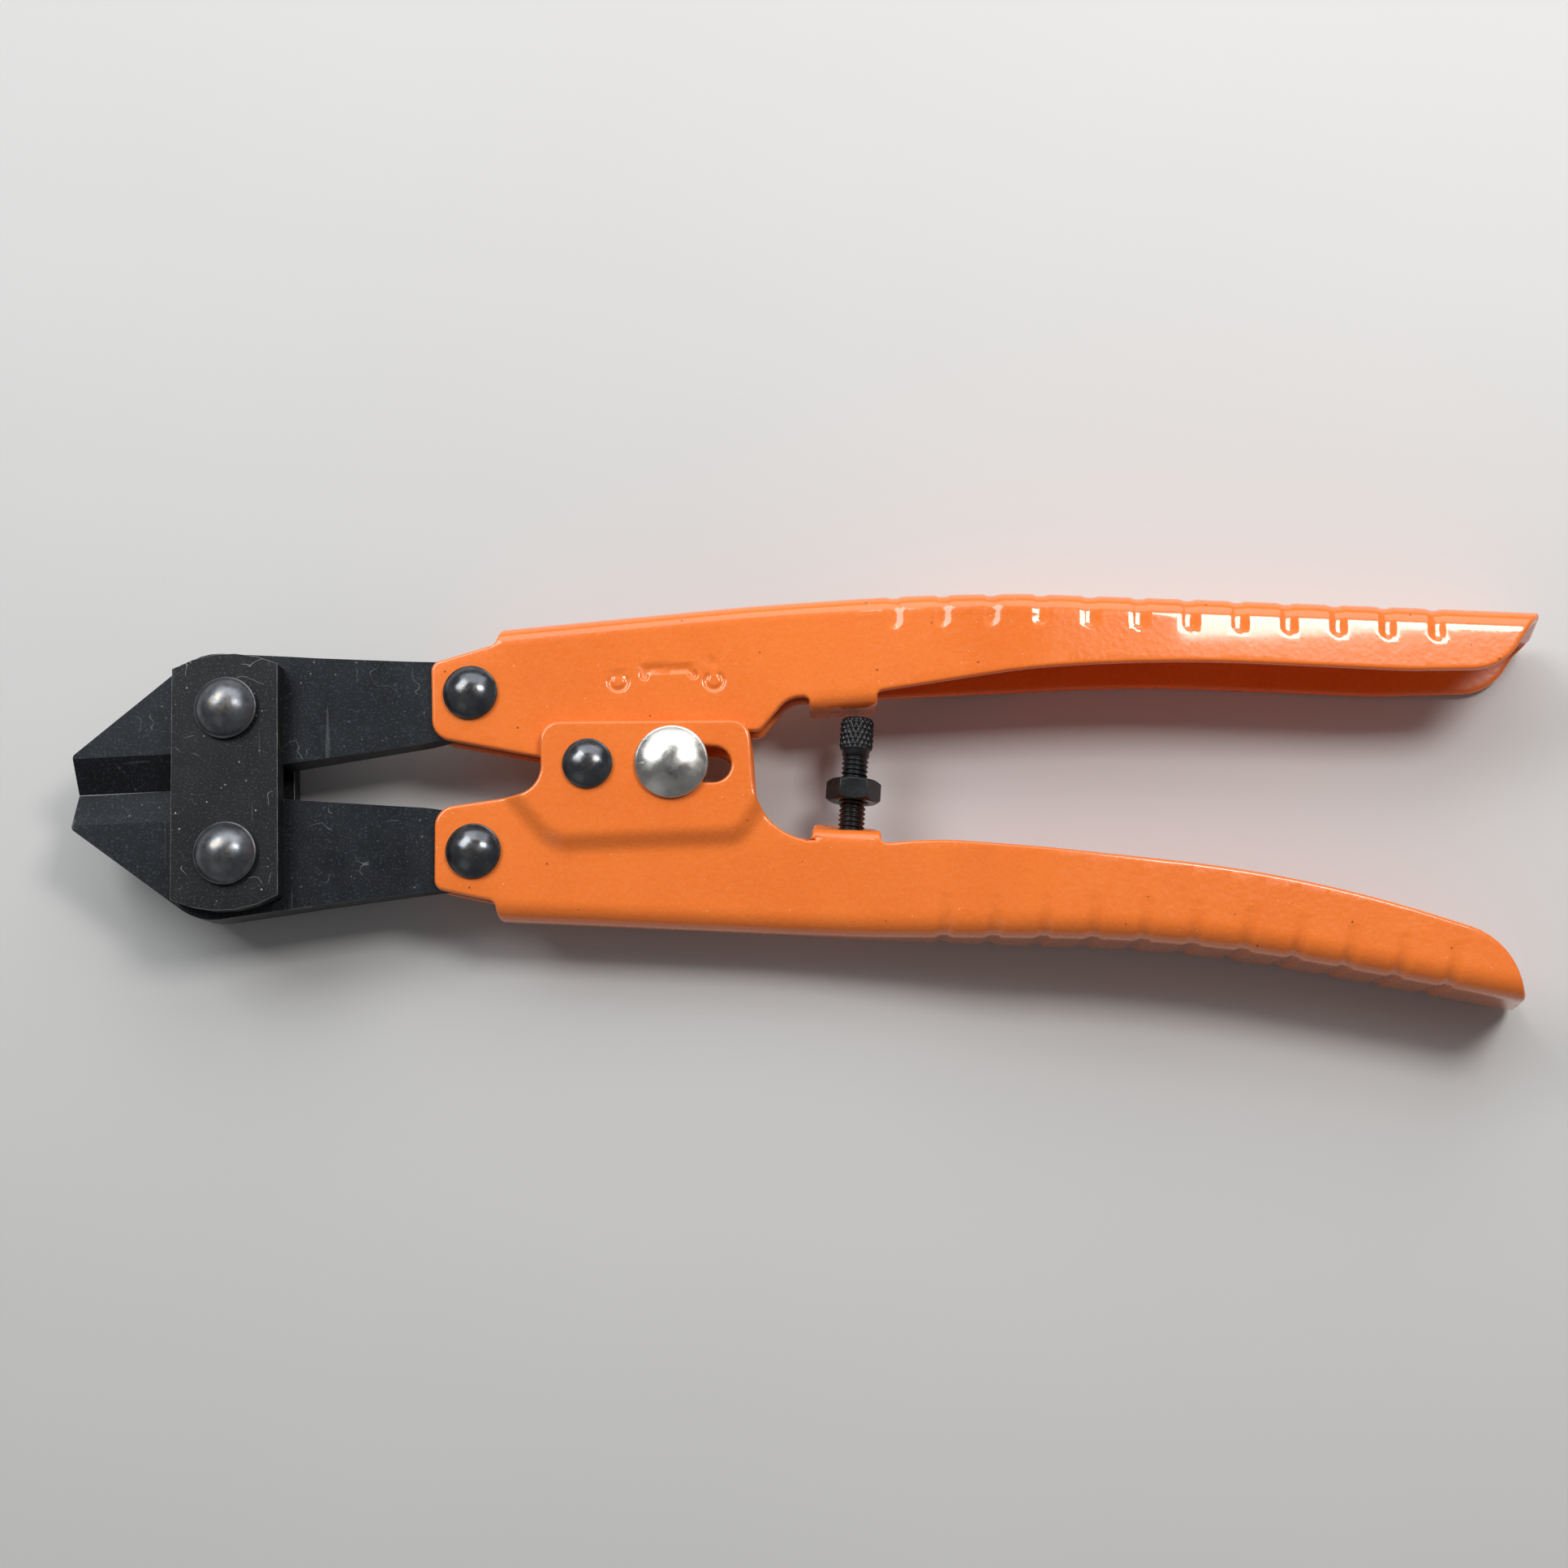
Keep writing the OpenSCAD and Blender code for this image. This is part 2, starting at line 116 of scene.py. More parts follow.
# ---------------------------------------------------------------- materials
class Nodes:
    """Short forms for building one material's node tree."""

    def __init__(self, name):
        self.mat = bpy.data.materials.new(name)
        self.mat.use_nodes = True
        self.tree = self.mat.node_tree
        self.shader = self.tree.nodes["Principled BSDF"]
        self.place = self.add("ShaderNodeTexCoord").outputs["Object"]

    def add(self, kind, **values):
        node = self.tree.nodes.new(kind)
        for key, value in values.items():
            setattr(node, key, value)
        return node

    def link(self, a, b):
        self.tree.links.new(a, b)

    def set(self, **values):
        for key, value in values.items():
            self.shader.inputs[key.replace("_", " ")].default_value = value

    def stretched(self, scale):
        mapping = self.add("ShaderNodeMapping")
        mapping.inputs["Scale"].default_value = scale
        self.link(self.place, mapping.inputs["Vector"])
        return mapping.outputs[0]

    def noise(self, per_metre, detail=3.0, rough=0.55, place=None):
        node = self.add("ShaderNodeTexNoise")
        node.inputs["Scale"].default_value = per_metre
        node.inputs["Detail"].default_value = detail
        node.inputs["Roughness"].default_value = rough
        self.link(place or self.place, node.inputs["Vector"])
        return node.outputs["Fac"]

    def specks(self, per_metre, size):
        """1 inside scattered round specks, 0 elsewhere. size is a share of the cell."""
        node = self.add("ShaderNodeTexVoronoi")
        node.inputs["Scale"].default_value = per_metre
        self.link(self.place, node.inputs["Vector"])
        return self.ramp(node.outputs["Distance"], (size * 0.6, 1.0), (size, 0.0))

    def ramp(self, value, low, high):
        node = self.add("ShaderNodeMapRange", interpolation_type="SMOOTHSTEP")
        node.inputs["From Min"].default_value = low[0]
        node.inputs["From Max"].default_value = high[0]
        node.inputs["To Min"].default_value = low[1]
        node.inputs["To Max"].default_value = high[1]
        self.link(value, node.inputs["Value"])
        return node.outputs[0]

    def math(self, how, a, b):
        node = self.add("ShaderNodeMath", operation=how)
        for socket, value in zip(node.inputs, (a, b)):
            if isinstance(value, (int, float)):
                socket.default_value = value
            else:
                self.link(value, socket)
        return node.outputs[0]

    def mix(self, amount, a, b):
        """Colour a where amount is 0 and b where it is 1. a and b are colours or sockets."""
        node = self.add("ShaderNodeMix", data_type="RGBA")
        self.link(amount, node.inputs[0])
        for socket, value in ((node.inputs[6], a), (node.inputs[7], b)):
            if isinstance(value, tuple):
                socket.default_value = (*value, 1)
            else:
                self.link(value, socket)
        return node.outputs[2]

    def bump(self, height, depth_mm, strength=1.0, below=None):
        node = self.add("ShaderNodeBump")
        node.inputs["Distance"].default_value = depth_mm * MM
        node.inputs["Strength"].default_value = strength
        self.link(height, node.inputs["Height"])
        if below is not None:
            self.link(below, node.inputs["Normal"])
        return node.outputs[0]

    def facing_z(self):
        """How far the surface faces along the tool's thickness, on either side."""
        split = self.add("ShaderNodeSeparateXYZ")
        self.link(self.add("ShaderNodeNewGeometry").outputs["Normal"], split.inputs[0])
        return self.math("ABSOLUTE", split.outputs["Z"], 0.0)

    def edges(self, steepest, flattest):
        """1 on the small rounds between the faces and the sides, 0 on both."""
        z = self.facing_z()
        return self.math("MULTIPLY", self.ramp(z, (steepest - 0.1, 0.0), (steepest, 1.0)),
                         self.ramp(z, (flattest, 1.0), (flattest + 0.03, 0.0)))

    def near(self, place, radius_mm):
        """1 at a place in the tool frame, falling to 0 at a radius."""
        node = self.add("ShaderNodeVectorMath", operation="DISTANCE")
        self.link(self.place, node.inputs[0])
        node.inputs[1].default_value = to_row(place)
        return self.ramp(node.outputs["Value"], (0.0, 1.0), (radius_mm * MM, 0.0))

    def finish(self, colour=None, rough=None, normal=None):
        for socket, value in (("Base Color", colour), ("Roughness", rough), ("Normal", normal)):
            if value is not None:
                self.link(value, self.shader.inputs[socket])
        return self.mat


def floor_paint():
    n = Nodes("floor_paint")
    n.set(Roughness=0.75)
    tone = n.mix(n.noise(9.0), (0.60, 0.585, 0.57), (0.64, 0.625, 0.61))
    return n.finish(tone)


def orange_paint():
    """Thick glossy powder coat: soft waves, fine peel, a few grains of dust under it."""
    n = Nodes("orange_paint")
    n.set(Coat_Weight=1.0, Coat_Roughness=0.05, Coat_IOR=1.5, Specular_IOR_Level=0.25)
    patch = n.ramp(n.noise(55.0, 4.0), (0.3, 0.0), (0.7, 1.0))
    tone = n.mix(patch, (0.87, 0.175, 0.018), (0.92, 0.20, 0.024))
    fine = n.ramp(n.noise(2600.0, 2.0), (0.35, 0.0), (0.8, 1.0))
    tone = n.mix(n.math("MULTIPLY", fine, 0.22), tone, (1.0, 0.32, 0.10))
    tone = n.mix(n.math("MULTIPLY", n.specks(260.0, 0.055), 0.75), tone, (0.10, 0.02, 0.012))
    tone = n.mix(n.math("MULTIPLY", n.specks(430.0, 0.05), 0.5), tone, (1.0, 0.72, 0.52))
    rough = n.ramp(n.noise(700.0, 3.0), (0.3, 0.24), (0.7, 0.34))
    waves = n.bump(n.noise(170.0, 1.0), 0.03, 1.0)
    peel = n.bump(n.noise(1150.0, 2.0, 0.45), 0.045, 1.0, waves)
    grain = n.bump(n.noise(3800.0, 2.0), 0.003, 0.5, peel)
    return n.finish(tone, rough, grain)


def black_steel(name, colour, rough, dust=0.35, edge_wear_and_highlight=0.3, grain_mm=0.012, edge=(0.25, 0.95), spec=0.3):
    """Blackened steel: fine blasted grain, rubbed edges that are also lightened as a painted edge highlight,
    scattered pale dust.
    """
    n = Nodes(name)
    n.set(Metallic=0.35, Specular_IOR_Level=spec)
    cloud = n.ramp(n.noise(130.0, 5.0), (0.3, 0.0), (0.7, 1.0))
    light = tuple(c * 1.6 for c in colour)
    tone = n.mix(cloud, colour, light)
    grit = n.ramp(n.noise(3000.0, 2.0, 0.7), (0.52, 0.0), (0.74, 1.0))
    tone = n.mix(n.math("MULTIPLY", grit, 0.7), tone, tuple(c * 7 for c in colour))
    uneven = n.ramp(n.noise(420.0, 3.0), (0.3, 0.5), (0.6, 1.0))
    # Light grey on the edge rounds: partly rubbed wear, partly a painted highlight along the edges.
    rubbed_and_highlight = n.math("MULTIPLY", n.edges(*edge), uneven)
    tone = n.mix(n.math("MULTIPLY", rubbed_and_highlight, edge_wear_and_highlight), tone, (0.72, 0.72, 0.72))
    fluff = n.math("MULTIPLY", n.specks(620.0, 0.10), n.ramp(n.noise(90.0), (0.42, 0.0), (0.60, 1.0)))
    tone = n.mix(n.math("MULTIPLY", fluff, dust), tone, (0.62, 0.60, 0.57))
    drift = n.ramp(n.noise(60.0, 4.0), (0.4, 0.0), (0.65, 1.0))
    fine_dust = n.math("MULTIPLY", n.specks(1700.0, 0.13), drift)
    tone = n.mix(n.math("MULTIPLY", fine_dust, dust * 0.6), tone, (0.45, 0.44, 0.42))
    for stretch, cut in (((1.0, 0.05, 1.0), 0.70), ((0.08, 1.0, 1.0), 0.73)):
        scratch = n.ramp(n.noise(950.0, 2.0, 0.5, n.stretched(stretch)), (cut, 0.0), (cut + 0.05, 1.0))
        tone = n.mix(n.math("MULTIPLY", scratch, 0.16), tone, (0.30, 0.29, 0.28))
    from_line = n.math("ABSOLUTE", n.math("SUBTRACT", n.noise(190.0, 1.5), 0.5), 0.0)
    fibre = n.ramp(from_line, (0.001, 1.0), (0.005, 0.0))
    fibre = n.math("MULTIPLY", fibre, n.ramp(n.noise(150.0, 1.0), (0.60, 0.0), (0.64, 1.0)))
    tone = n.mix(n.math("MULTIPLY", fibre, dust), tone, (0.40, 0.39, 0.37))
    roughness = n.ramp(n.noise(300.0, 4.0), (0.25, rough - 0.06), (0.75, rough + 0.08))
    grain = n.bump(n.noise(3000.0, 3.0, 0.65), grain_mm, 0.8)
    return n.finish(tone, roughness, grain)


def gloss_black(name, dark, light, rough, burnish):
    """Glossy black rivet head, with the centre rubbed by the rivet set."""
    n = Nodes(name)
    n.set(Metallic=0.9, Specular_IOR_Level=0.5)
    cloud = n.ramp(n.noise(420.0, 4.0), (0.35, 0.0), (0.7, 1.0))
    tone = n.mix(cloud, dark, light)
    flat = n.ramp(n.facing_z(), (0.90, 0.0), (0.99, 1.0))
    worn = n.math("MULTIPLY", flat, n.ramp(n.noise(1300.0, 4.0), (0.45, 0.0), (0.60, 1.0)))
    tone = n.mix(n.math("MULTIPLY", worn, burnish), tone, (0.30, 0.245, 0.18))
    tone = n.mix(n.math("MULTIPLY", n.specks(900.0, 0.10), 0.3), tone, (0.55, 0.54, 0.52))
    roughness = n.ramp(n.noise(800.0, 4.0), (0.3, rough), (0.75, rough + 0.12))
    dents = n.bump(n.noise(700.0, 4.0, 0.6), 0.03, 0.5)
    return n.finish(tone, roughness, dents)


def bright_steel():
    """Plated steel knob: handling scratches, a few pits, and a dark reflection painted at one place on the dome.
    """
    n = Nodes("bright_steel")
    n.set(Metallic=1.0)
    cloud = n.ramp(n.noise(360.0, 5.0), (0.35, 0.0), (0.7, 1.0))
    tone = n.mix(cloud, (0.74, 0.72, 0.68), (0.60, 0.57, 0.52))
    pits = n.math("MULTIPLY", n.specks(520.0, 0.16), n.ramp(n.noise(260.0), (0.5, 0.0), (0.6, 1.0)))
    tone = n.mix(n.math("MULTIPLY", pits, 0.5), tone, (0.30, 0.27, 0.24))
    # Painted reflection: a dark spot at a fixed place low and to the right on the dome, broken up by noise.
    reflection_breakup = n.ramp(n.noise(700.0, 4.0), (0.3, 0.2), (0.6, 1.0))
    painted_dark_reflection = n.math("MULTIPLY", n.near((12.7, -2.2, 6.9), 1.9), reflection_breakup)
    tone = n.mix(n.math("MULTIPLY", painted_dark_reflection, 0.8), tone, (0.12, 0.11, 0.10))
    upright = n.noise(1400.0, 2.0, 0.5, n.stretched((1.0, 0.05, 1.0)))
    level = n.noise(1100.0, 2.0, 0.5, n.stretched((0.06, 1.0, 1.0)))
    lines = n.math("MAXIMUM", n.ramp(upright, (0.66, 0.0), (0.72, 1.0)),
                   n.ramp(level, (0.68, 0.0), (0.74, 1.0)))
    base_rough = n.ramp(n.noise(480.0, 4.0), (0.3, 0.2), (0.7, 0.36))
    rough = n.math("ADD", base_rough, n.math("MULTIPLY", lines, 0.18))
    return n.finish(tone, rough, n.bump(lines, 0.006, 0.5, n.bump(n.noise(300.0, 2.0), 0.02, 0.25)))


# ---------------------------------------------------------------- outlines, as in the design
def corner(a, b, c, step_deg=9.0):
    """Points of corner b = (x, y, radius) between a and c, with its round."""
    p, r = np.array(b[:2], float), b[2]
    u = np.array(a[:2], float) - p
    w = np.array(c[:2], float) - p
    u, w = u / np.linalg.norm(u), w / np.linalg.norm(w)
    half = math.acos(max(-1.0, min(1.0, float(u @ w)))) / 2
    turn = math.pi - 2 * half
    if r == 0 or turn < 1e-3:
        return [p]
    middle = p + (u + w) / np.linalg.norm(u + w) * r / math.sin(half)
    start = p + u * r / math.tan(half) - middle
    side = 1 if u[0] * w[1] - u[1] * w[0] > 0 else -1
    steps = max(2, math.ceil(math.degrees(turn) / (1.0 if r > 20 else step_deg)))
    first = math.atan2(start[1], start[0])
    return [middle + r * np.array([math.cos(first - side * turn * i / steps),
                                   math.sin(first - side * turn * i / steps)]) for i in range(steps + 1)]


def outline(corners, closed=True):
    """Points of a line through corners (x, y, radius), with their rounds."""
    n = len(corners)
    points = []
    for i, c in enumerate(corners):
        if not closed and i in (0, n - 1):
            points.append(np.array(c[:2], float))
        else:
            points += corner(corners[i - 1], c, corners[(i + 1) % n])
    return np.array(points)


def spaced(points, gap, closed=False):
    """The same line with a point at least every gap."""
    points = np.asarray(points, float)
    ends = np.roll(points, -1, axis=0) if closed else points[1:]
    out = []
    for a, b in zip(points, ends):
        n = max(1, int(math.ceil(np.linalg.norm(b - a) / gap)))
        out += [a + (b - a) * i / n for i in range(n)]
    if not closed:
        out.append(points[-1])
    return np.array(out)


def smooth(low, high, value):
    """0 up to low, 1 from high on, and a soft step between them."""
    t = np.clip((value - low) / (high - low), 0, 1)
    return t * t * (3 - 2 * t)


SHEET, RIM = 1.4, 0.5  # the sheet's thickness and the radius of its rounded rims
RIM_STEPS = [math.radians(a) for a in (22.5, 45, 67.5, 90)]  # rings of points round each rim's round
FOLD_R, FOLD_MORE = 3.0, 0.3  # outside radius of the fold at the nose, and how much wider it is on the grip
EXTEND = 15.0  # how far the back's line runs on past both its ends
TAB_FOLD = 1.8  # outside radius of the stop tabs' folds
NOSE_HALF, GRIP_HALF = 3.45, 9.5  # half the channel's thickness at the nose and on the grip
END_SLANT = math.tan(math.radians(10))  # the grips' ends lean outwards to the rear
EAR_RISE, EAR_SLOPE = 1.45, 3.0  # the raised ear's height and the width of its slope
RIB_FLAT, RIB_HALF = 0.5, 1.2  # half width of a finger rib's floor and of the whole rib
FADE_FROM = 1.5  # how far inwards from the back the ribs start to fade
TAB_ROOT_R, TAB_CORNER_R, TAB_SHORT = 0.9, 1.2, 0.6  # a stop tab ends TAB_SHORT before the rear face
# How close the points of the handles' meshes lie: along the rims, between rows along the fold and over how
# wide a strip, on the plain part of a handle and where it has ribs, and over the rest of the cheeks.
RIM_GAP, ROW_GAP, FINE_STRIP, PLAIN_GAP, RIBBED_GAP, CHEEK_GAP = 0.45, 0.45, 6.2, 0.9, 0.5, 1.1
FOLD_ROWS, WEB_ROWS = 8, 4
RIM_CLEAR, STRIP_CLEAR = 0.16, 0.3  # the room left next to the rims' rings and next to the strip
# Half the channel's outside thickness along x: it flares from the nose to the grip.
FLARE = outline([(-60, NOSE_HALF, 0), (34.3, NOSE_HALF, 95), (64.5, GRIP_HALF, 35), (95, GRIP_HALF, 0),
                 (150, GRIP_HALF - 0.8, 0)], closed=False)


def half_width(x):
    """Half the channel's outside thickness at x."""
    return np.interp(x, FLARE[:, 0], FLARE[:, 1])


def fold_radius(x):
    """Outside radius of the fold between cheek and web, wider on the grips."""
    return FOLD_R + FOLD_MORE * (half_width(x) - NOSE_HALF) / (GRIP_HALF - NOSE_HALF)


def inside(points, loop):
    """Even-odd test of points against a closed loop."""
    x, y = points[:, 0][:, None], points[:, 1][:, None]
    a, b = loop, np.roll(loop, -1, axis=0)
    crosses = (a[:, 1] > y) != (b[:, 1] > y)
    with np.errstate(divide="ignore", invalid="ignore"):
        at = (b[:, 0] - a[:, 0]) * (y - a[:, 1]) / (b[:, 1] - a[:, 1]) + a[:, 0]
    return (crosses & (x < at)).sum(axis=1) % 2 == 1


def distance(points, line, closed=True):
    """Distance to the nearest stretch of a line, and where along it that is."""
    a = line if closed else line[:-1]
    b = np.roll(line, -1, axis=0) if closed else line[1:]
    best = np.full(len(points), 1e9)
    along = np.zeros(len(points))
    run = np.concatenate([[0], np.cumsum(np.linalg.norm(b - a, axis=1))])
    for i in range(len(a)):
        ab = b[i] - a[i]
        squared = max(float(ab @ ab), 1e-12)
        t = np.clip((points - a[i]) @ ab / squared, 0, 1)
        d = np.linalg.norm(points - (a[i] + t[:, None] * ab), axis=1)
        closer = d < best
        best[closer] = d[closer]
        along[closer] = run[i] + t[closer] * math.sqrt(squared)
    return best, along


def circle(at, r, n=40):
    """Points round a circle."""
    return np.array([[at[0] + r * math.cos(2 * math.pi * i / n), at[1] + r * math.sin(2 * math.pi * i / n)]
                     for i in range(n)])


def stroke_depth(points, line, width, depth, closed):
    """Depth of a stamped stroke along a line, with soft walls."""
    wall = 0.22
    d, _ = distance(points, line, closed)
    return depth * (1 - smooth(width / 2 - wall, width / 2 + wall, d))


# ---------------------------------------------------------------- pressed channel handles
def rim_drop(from_rim):
    """How far a rounded rim falls below the sheet's face at a distance from the edge."""
    left = np.clip(RIM - from_rim, 0, RIM)
    return RIM - np.sqrt(RIM * RIM - left * left)


class Channel:
    """One handle, pressed and folded from a flat blank: a cheek, a fold and half of the web on each side.

    back runs along the handle's outer side, and the blank's free edge follows end, grip and nose. All four
    are corners (x, y, radius), and a corner of end has one radius for the front half and one for the rear.
    ribs are places in x along the back. They reach rib_end inwards and lose rib_fade of their depth on the
    way. tab is the stop tab: the middle of its face, its turn and way, its width, where its sides start, its
    hole, and after how many corners of grip it comes. ear is the outline of the raised ear, marks are the
    stamped lines, and fine lists the areas with closer points, as (low corner, high corner, gap).
    """

    def __init__(self, back, nose, grip, end, ribs, rib_end, rib_depth, rib_fade,
                 holes, tab, ear=None, marks=(), fine=()):
        line = outline(back, closed=False)
        line = np.concatenate([[self.beyond(line[1], line[0])], line, [self.beyond(line[-2], line[-1])]])
        self.back = spaced(line, 0.5)
        self.run = np.concatenate([[0], np.cumsum(np.linalg.norm(np.diff(self.back, axis=0), axis=1))])
        self.first, self.last = EXTEND, self.run[-1] - EXTEND
        along = np.gradient(self.back, axis=0)
        along /= np.linalg.norm(along, axis=1)[:, None]
        sign = 1 if back[0][1] > 0 else -1
        self.inward = np.stack([along[:, 1], -along[:, 0]], axis=1) * sign
        self.nose, self.grip, self.end = nose, grip, end
        self.ribs = np.interp(ribs, self.back[:, 0], self.run)
        self.rib_end, self.rib_depth, self.rib_fade = rib_end, rib_depth, rib_fade
        self.holes, self.tab, self.ear, self.marks, self.fine = holes, tab, ear, marks, fine

    @staticmethod
    def beyond(before, end):
        """A point past the end of the back's line, so that the fold runs on straight there."""
        way = end - before
        return end + way / np.linalg.norm(way) * EXTEND

    def at(self, s, d):
        """Flat place at s along the back and d inwards from it."""
        base = np.stack([np.interp(s, self.run, self.back[:, k]) for k in (0, 1)], axis=-1)
        inward = np.stack([np.interp(s, self.run, self.inward[:, k]) for k in (0, 1)], axis=-1)
        return base + inward * np.asarray(d)[..., None]

    def inward_at(self, s):
        """The way inwards from the back at s."""
        return self.at(s, 0 * s + 1) - self.at(s, 0 * s)

    def sizes(self, s):
        """Fold radius and half thickness at s along the back."""
        x = np.interp(s, self.run, self.back[:, 0])
        return fold_radius(x), half_width(x)

    def stations(self):
        """Places along the back for the rows of points, closer together where the ribs are."""
        ribbed = self.ribs[0] - 3
        return np.concatenate([np.arange(self.first, ribbed, PLAIN_GAP),
                               np.arange(ribbed, self.last, RIBBED_GAP)])

    def middle_line(self):
        """The blank's line that ends up on the mid-plane, where both halves meet."""
        steps = np.append(self.stations(), self.last)
        radius, half = self.sizes(steps)
        return self.at(steps, radius - radius * math.pi / 2 - (half - radius))

    def pattern(self, front):
        """The blank's outline past the mid-plane line, that line itself, and the holes."""
        middle = self.middle_line()
        grip = self.with_tab() if front else self.grip
        lean = GRIP_HALF * END_SLANT * (-1 if front else 1)
        grip = [(x + lean, y, front_r if front else rear_r) for x, y, front_r, rear_r in self.end] + grip
        free = outline([(*middle[-1], 0)] + grip + self.nose + [(*middle[0], 0)], closed=False)
        holes = list(self.holes)
        if front and self.tab.get("hole"):
            holes.append(circle(self.tab_point(self.tab["hole_off"], self.tab_middle()), self.tab["hole"]))
        return spaced(free, RIM_GAP), middle, holes

    def tab_axes(self):
        """The stop tab's ways on the blank: along the fold off the cheek's inner edge, and out from it."""
        t = self.tab
        return (np.array([math.cos(t["turn"]), math.sin(t["turn"])]),
                np.array([math.sin(t["turn"]), -math.cos(t["turn"])]) * t["way"])

    def tab_point(self, sideways, out):
        """A place on the flat blank's tab, sideways along the fold and out from where the fold starts."""
        along, way = self.tab_axes()
        return np.array(self.tab["face"]) + along * sideways + way * (out - TAB_FOLD)

    def tab_middle(self):
        """How far out from the fold's start the tab crosses the mid-plane."""
        return TAB_FOLD * math.pi / 2 + half_width(self.tab["face"][0]) - TAB_FOLD

    def with_tab(self):
        """The tab's corners put into the cheek's inner edge, after corner number tab['after']."""
        t, half = self.tab, self.tab["width"] / 2
        end = self.tab_middle() + half_width(t["face"][0]) - TAB_SHORT
        root, tip = (t["root"], TAB_ROOT_R), (end, TAB_CORNER_R)
        corners = [(*self.tab_point(side * half, out), r)
                   for side, (out, r) in ((1, root), (1, tip), (-1, tip), (-1, root))]
        return self.grip[:t["after"]] + corners + self.grip[t["after"]:]

    def from_back(self, points):
        """Distance from the back's line, positive towards the channel, and place along it."""
        d, s = distance(points, self.back, closed=False)
        side = np.sign(((points - self.at(s, 0 * s)) * self.inward_at(s)).sum(axis=1))
        return d * side, s

    def mesh_points(self, free, middle, holes):
        """Rings along the rims, rows along the fold and a looser grid over the rest."""
        rings = []
        for line, closed in [(free, False)] + [(h, True) for h in holes]:
            way = np.roll(line, -1, axis=0) - np.roll(line, 1, axis=0)
            if not closed:
                way[0], way[-1] = line[1] - line[0], line[-1] - line[-2]
            side = np.stack([-way[:, 1], way[:, 0]], axis=1) / np.linalg.norm(way, axis=1)[:, None]
            for angle in RIM_STEPS:
                inset = RIM * (1 - math.cos(angle))
                rings += [(line + side * inset, inset), (line - side * inset, inset)]
        steps = self.stations()
        radius, half = self.sizes(steps)
        rows = [radius + d for d in np.arange(0, FINE_STRIP, ROW_GAP)]
        rows += [radius * (1 - math.pi / 2 * k / FOLD_ROWS) for k in range(1, FOLD_ROWS + 1)]
        rows += [radius * (1 - math.pi / 2) - (half - radius) * k / WEB_ROWS for k in range(1, WEB_ROWS)]
        strip = np.concatenate([self.at(steps, r) for r in rows])
        loop = np.concatenate([free, middle])
        areas = [(loop.min(axis=0), loop.max(axis=0), CHEEK_GAP)] + list(self.fine)
        grid = []
        for k, (low, high, gap) in enumerate(areas):
            x, y = np.meshgrid(np.arange(low[0], high[0], gap), np.arange(low[1], high[1], gap))
            part = np.stack([(x + (np.arange(len(x)) % 2)[:, None] * gap / 2).ravel(), y.ravel()], axis=1)
            for low2, high2, _ in areas[k + 1:]:
                within = (part > np.array(low2) - gap / 2) & (part < np.array(high2) + gap / 2)
                part = part[~within.all(axis=1)]
            grid.append(part)
        grid = np.concatenate(grid)
        d, s = self.from_back(grid)
        grid = grid[d > self.sizes(s)[0] + FINE_STRIP + STRIP_CLEAR]
        points = [self.clear(np.concatenate([strip, grid]), free, loop, holes, RIM + RIM_CLEAR)]
        points += [self.clear(p, free, loop, holes, inset - 0.004) for p, inset in rings]
        return np.concatenate(points)

    @staticmethod
    def clear(points, free, loop, holes, gap):
        """Only the points inside the blank, at least gap from every rim."""
        keep = inside(points, loop) & (distance(points, free, closed=False)[0] > gap)
        for hole in holes:
            keep &= ~inside(points, hole) & (distance(points, hole)[0] > gap)
        keep &= distance(points, loop)[0] > min(gap, 0.1)
        return points[keep]

    def fold(self, flat, front):
        """Where the blank's outer face goes, and its outward normals, before anything is pressed in."""
        d, s = self.from_back(flat)
        radius, half = self.sizes(s)
        over = radius - d
        angle = np.clip(over / radius, 0, math.pi / 2)
        down = np.clip(over - radius * math.pi / 2, 0, None)
        bent = self.at(s, radius * (1 - np.sin(angle)))
        flat_half = half_width(flat[:, 0])
        on = over > 0
        place = np.concatenate([flat, flat_half[:, None]], axis=1)
        place[on, :2] = bent[on]
        place[on, 2] = (half - radius * (1 - np.cos(angle)) - down)[on]
        normal = np.concatenate([-self.inward_at(s) * np.sin(angle)[:, None], np.cos(angle)[:, None]], axis=1)
        if front:
            along, way = self.tab_axes()
            offset = flat - np.array(self.tab["face"])
            reach = offset @ way + TAB_FOLD
            on = (reach > 0) & (np.abs(offset @ along) < self.tab["width"] / 2 + 1.0)
            angle = np.clip(reach / TAB_FOLD, 0, math.pi / 2)
            down = np.clip(reach - TAB_FOLD * math.pi / 2, 0, None)
            moved = flat + way * (TAB_FOLD * (np.sin(angle) - 1) - offset @ way)[:, None]
            place[on, :2] = moved[on]
            place[on, 2] = (flat_half - TAB_FOLD * (1 - np.cos(angle)) - down)[on]
            tilt = np.concatenate([way * np.sin(angle)[:, None], np.cos(angle)[:, None]], axis=1)
            normal[on] = tilt[on]
        return place, normal, d, s

    def pressed(self, flat, d, s, front):
        """Depth pressed in below the face: finger ribs, stamped marks, and the raised ear as less than 0."""
        depth = np.zeros(len(flat))
        rib_depth = self.rib_depth * (1 - self.rib_fade * smooth(FADE_FROM, self.rib_end, d))
        for rib in self.ribs:
            cross = np.hypot(s - rib, np.clip(d - self.rib_end, 0, None))
            depth = np.maximum(depth, rib_depth * (1 - smooth(RIB_FLAT, RIB_HALF, cross)))
        if front:
            for line, width, deep, closed in self.marks:
                depth = np.maximum(depth, stroke_depth(flat, line, width, deep, closed))
        if self.ear is not None:
            edge, _ = distance(flat, self.ear)
            edge *= np.where(inside(flat, self.ear), 1, -1)
            depth -= EAR_RISE * smooth(-0.2, EAR_SLOPE, edge)
        return depth

